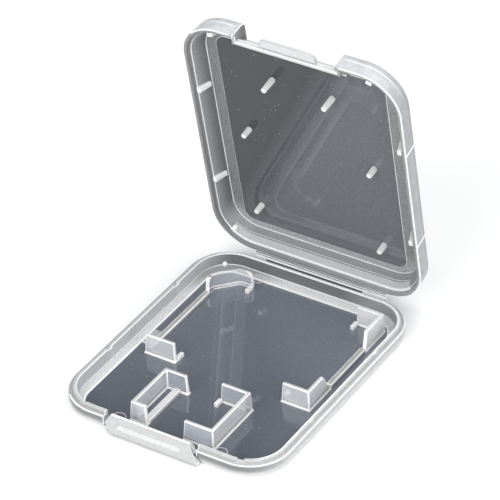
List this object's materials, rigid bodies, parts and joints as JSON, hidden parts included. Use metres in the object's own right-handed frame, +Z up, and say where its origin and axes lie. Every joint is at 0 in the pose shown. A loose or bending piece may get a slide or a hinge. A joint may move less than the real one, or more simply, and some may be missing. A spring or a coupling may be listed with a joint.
{
  "type": "memory card case",
  "caption": "Small clear plastic clamshell case for memory cards, with card brackets in the tray, hold-down posts in the lid, a living hinge and a thumb lip.",
  "frame": {"origin": "on the table, under the middle of the tray's flat underside", "axes": "+X along the hinge line, to the right for someone facing the thumb lip; +Y from the thumb lip to the hinge; +Z up"},
  "size_m": [0.0436, 0.0591, 0.0555],
  "materials": {
    "frame": "frosted translucent polypropylene",
    "pane": "polished clear polypropylene, smoke grey against a dark ground",
    "bracket": "satin translucent polypropylene",
    "web": "thin flexed polypropylene"
  },
  "bodies": {
    "tray": {"base_frame": "frame", "base_window": "pane", "card_corner_left": "bracket", "card_corner_right": "bracket", "left_stop": "bracket", "right_stop": "bracket", "left_rail": "bracket", "right_rail": "bracket", "micro_clip_left": "bracket", "micro_clip_right": "bracket", "rest_back_left": "bracket", "rest_back_right": "bracket", "rest_left_stop": "bracket", "rest_right_stop": "bracket", "rest_micro_left": "bracket", "rest_micro_right": "bracket", "base_pip": "bracket", "hinge_web_left": "web", "hinge_web_right": "web"},
    "lip": {"thumb_lip": "frame"},
    "lid": {"lid_frame": "frame", "lid_window": "pane", "lid_scoop": "frame", "lid_tab": "frame", "hinge_rib": "bracket", "lid_pip": "bracket", "sd_post_front_left": "bracket", "sd_post_front_right": "bracket", "sd_post_back_left": "bracket", "sd_post_back_right": "bracket", "micro_post_left": "bracket", "micro_post_right": "bracket", "lug_left_front": "bracket", "lug_left_back": "bracket", "lug_right_front": "bracket", "lug_right_back": "bracket", "lug_front_left": "bracket", "lug_front_right": "bracket"}
  },
  "joints": [
    {"name": "lid_hinge", "type": "hinge", "parent": "tray", "child": "lid", "pos_m": [0, 0.02727, 0.00213], "axis": [-1, 0, 0], "range_deg": [-79.6, 50], "deforming": ["hinge_web_left", "hinge_web_right"]},
    {"name": "lip_flex", "type": "hinge", "parent": "tray", "child": "lip", "pos_m": [-0.00155, -0.02514, 0.0004], "axis": [1, 0, 0], "range_deg": [0, 4], "stiffness_Nm_per_rad": 0.015}
  ]
}
